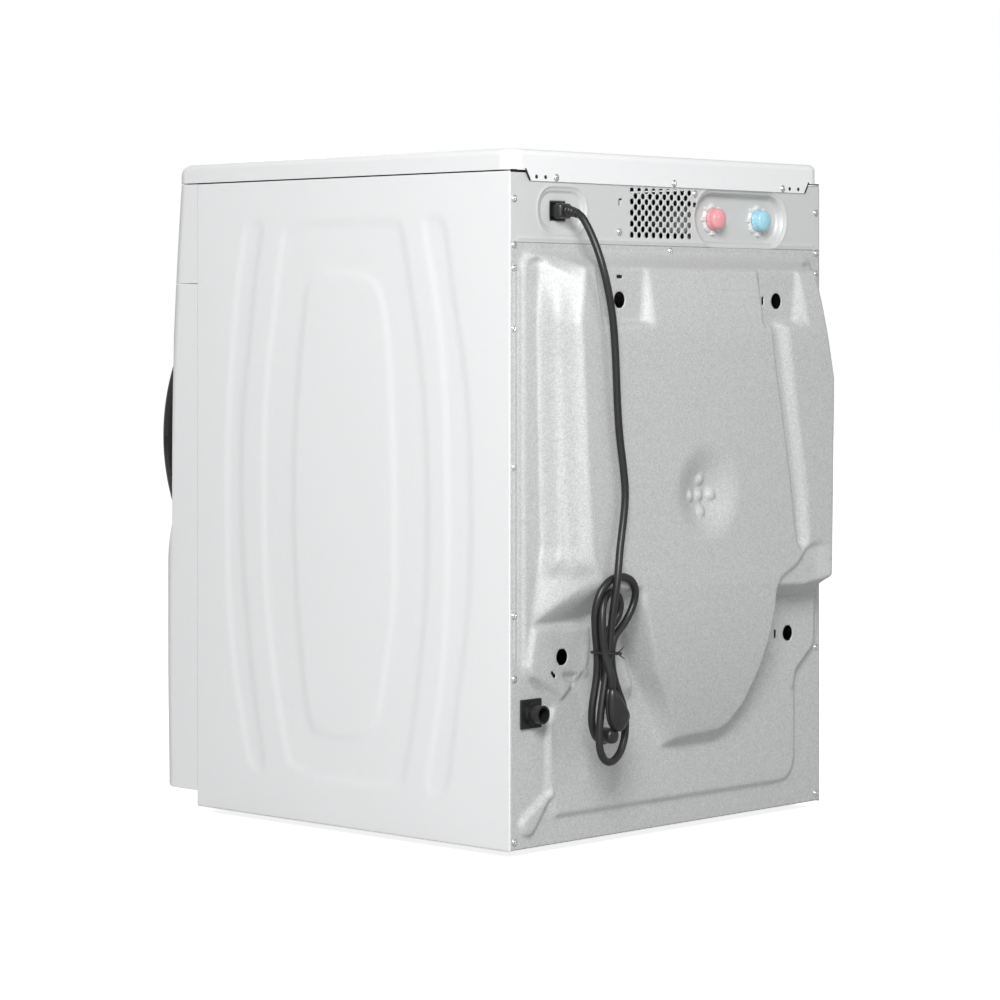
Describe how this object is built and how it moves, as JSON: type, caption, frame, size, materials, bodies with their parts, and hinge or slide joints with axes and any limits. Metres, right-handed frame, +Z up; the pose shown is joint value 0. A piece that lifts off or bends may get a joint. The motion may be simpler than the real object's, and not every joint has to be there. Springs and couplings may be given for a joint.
{
  "type": "clothes dryer",
  "caption": "Free-standing front-loading ventless washer-dryer: white cabinet, pressed steel back, round glass door, sprung tub and drum, capped inlets, drain outlet and tied mains cord.",
  "frame": {"origin": "on the floor, under the middle of the machine's bounding box without its cord", "axes": "+Z up, -Y towards the door, +X to the right of a person facing the door"},
  "size_m": [0.595, 0.759, 0.845],
  "materials": {
    "white_paint": "smooth gloss enamel",
    "white_plastic": "satin moulded plastic",
    "galvanised": "spangled zinc coating",
    "galvanised_smooth": "fine, smooth zinc coating",
    "zinc_screw": "zinc plated",
    "dark_window": "smoked, glossy",
    "clear_glass": "clear",
    "silver_plastic": "metallised satin",
    "board_green": "lacquered",
    "grey_plastic": "moulded, matt",
    "black_gloss": "high gloss",
    "black_plastic": "moulded, matt",
    "pale_plastic": "moulded, slightly clear",
    "cast_aluminium": "as cast",
    "grey_rubber": "matt",
    "black_rubber": "matt",
    "cast_weight": "rough",
    "drum_steel": "bright stainless",
    "bright_steel": "machined",
    "motor_case": "black painted",
    "red_cap": "translucent",
    "blue_cap": "translucent",
    "cord_black": "matt vinyl"
  },
  "bodies": {
    "root": {"side_panel_right": "white_paint", "side_panel_left": "white_paint", "base_frame": "galvanised", "levelling_feet": "black_rubber", "top_crossbar": "galvanised", "top_cover": "white_plastic", "rear_top_panel": "galvanised_smooth", "rear_panel": "galvanised", "panel_screws": "zinc_screw", "front_panel": "white_paint", "control_panel": "white_plastic", "display_window": "dark_window", "control_board": "board_green", "drawer_housing": "grey_plastic", "hinge_bracket": "cast_aluminium", "door_lock": "black_plastic", "damper_tubes": "black_plastic", "drain_pump": "white_plastic", "drain_hose": "black_rubber", "drain_outlet": "black_plastic", "inlet_valves": "pale_plastic", "valve_cap_hot": "red_cap", "valve_cap_cold": "blue_cap", "power_inlet": "black_plastic", "cord_connector": "cord_black", "power_cord": "cord_black", "cord_hank": "cord_black", "cord_tie": "cord_black", "power_plug": "cord_black"},
    "tub": {"tub_front": "grey_plastic", "tub_rear": "grey_plastic", "drum_bearings": "bright_steel", "door_bellows": "grey_rubber", "front_counterweight": "cast_weight", "drive_belt": "black_rubber", "drive_motor": "motor_case", "suspension_springs": "bright_steel", "damper_rods": "white_plastic", "wash_heater": "bright_steel", "drying_duct": "cast_aluminium", "dryer_fan_motor": "motor_case"},
    "drum": {"drum_shell": "drum_steel", "drum_lifters": "grey_plastic", "drum_spider": "cast_aluminium", "drum_shaft": "bright_steel", "drum_pulley": "cast_aluminium"},
    "door": {"door_outer_ring": "black_gloss", "door_window": "dark_window", "door_inner_ring": "grey_plastic", "door_glass": "clear_glass", "door_hinge": "cast_aluminium", "door_hook": "zinc_screw"},
    "rotor": {"motor_pulley": "bright_steel"},
    "fan": {"dryer_fan": "black_plastic"},
    "knob": {"program_knob": "silver_plastic"},
    "power_button": {"button_power": "silver_plastic"},
    "start_button": {"button_start": "silver_plastic"},
    "drawer": {"detergent_drawer": "white_plastic"},
    "flap": {"filter_door": "white_plastic"},
    "filter": {"pump_filter": "grey_plastic"}
  },
  "joints": [
    {"name": "tub_bounce", "type": "slide", "parent": "root", "child": "tub", "axis": [0, 0, 1], "range_m": [-0.008, 0.008], "stiffness_N_per_m": 12000, "springref_m": 0.04088, "deforming": ["suspension_springs", "door_bellows"]},
    {"name": "drum_spin", "type": "hinge", "parent": "tub", "child": "drum", "pos_m": [0, 0.251, 0.455], "axis": [0, 1, 0], "continuous": true},
    {"name": "motor_spin", "type": "hinge", "parent": "tub", "child": "rotor", "pos_m": [-0.03, 0.291, 0.133], "axis": [0, 1, 0], "continuous": true},
    {"name": "fan_spin", "type": "hinge", "parent": "tub", "child": "fan", "pos_m": [0.065, 0.161, 0.725], "axis": [0, 0, 1], "continuous": true},
    {"name": "door_swing", "type": "hinge", "parent": "root", "child": "door", "pos_m": [-0.268, -0.344, 0.487], "axis": [0, 0, -1], "range_deg": [0, 150]},
    {"name": "knob_turn", "type": "hinge", "parent": "root", "child": "knob", "pos_m": [-0.01, -0.309, 0.779], "axis": [0, 1, 0], "continuous": true},
    {"name": "power_press", "type": "slide", "parent": "root", "child": "power_button", "axis": [0, 1, 0], "range_m": [0, 0.0015], "stiffness_N_per_m": 400, "springref_m": -0.001},
    {"name": "start_press", "type": "slide", "parent": "root", "child": "start_button", "axis": [0, 1, 0], "range_m": [0, 0.0015], "stiffness_N_per_m": 400, "springref_m": -0.001},
    {"name": "drawer_slide", "type": "slide", "parent": "root", "child": "drawer", "axis": [0, -1, 0], "range_m": [0, 0.19]},
    {"name": "flap_swing", "type": "hinge", "parent": "root", "child": "flap", "pos_m": [0.19, -0.3168, 0.0665], "axis": [1, 0, 0], "range_deg": [0, 90]},
    {"name": "filter_turn", "type": "hinge", "parent": "root", "child": "filter", "pos_m": [0.19, -0.249, 0.097], "axis": [0, 1, 0], "range_deg": [0, 90]}
  ],
  "couplings": [
    {"joint": "motor_spin", "follows": "drum_spin", "ratio": 12.727}
  ]
}
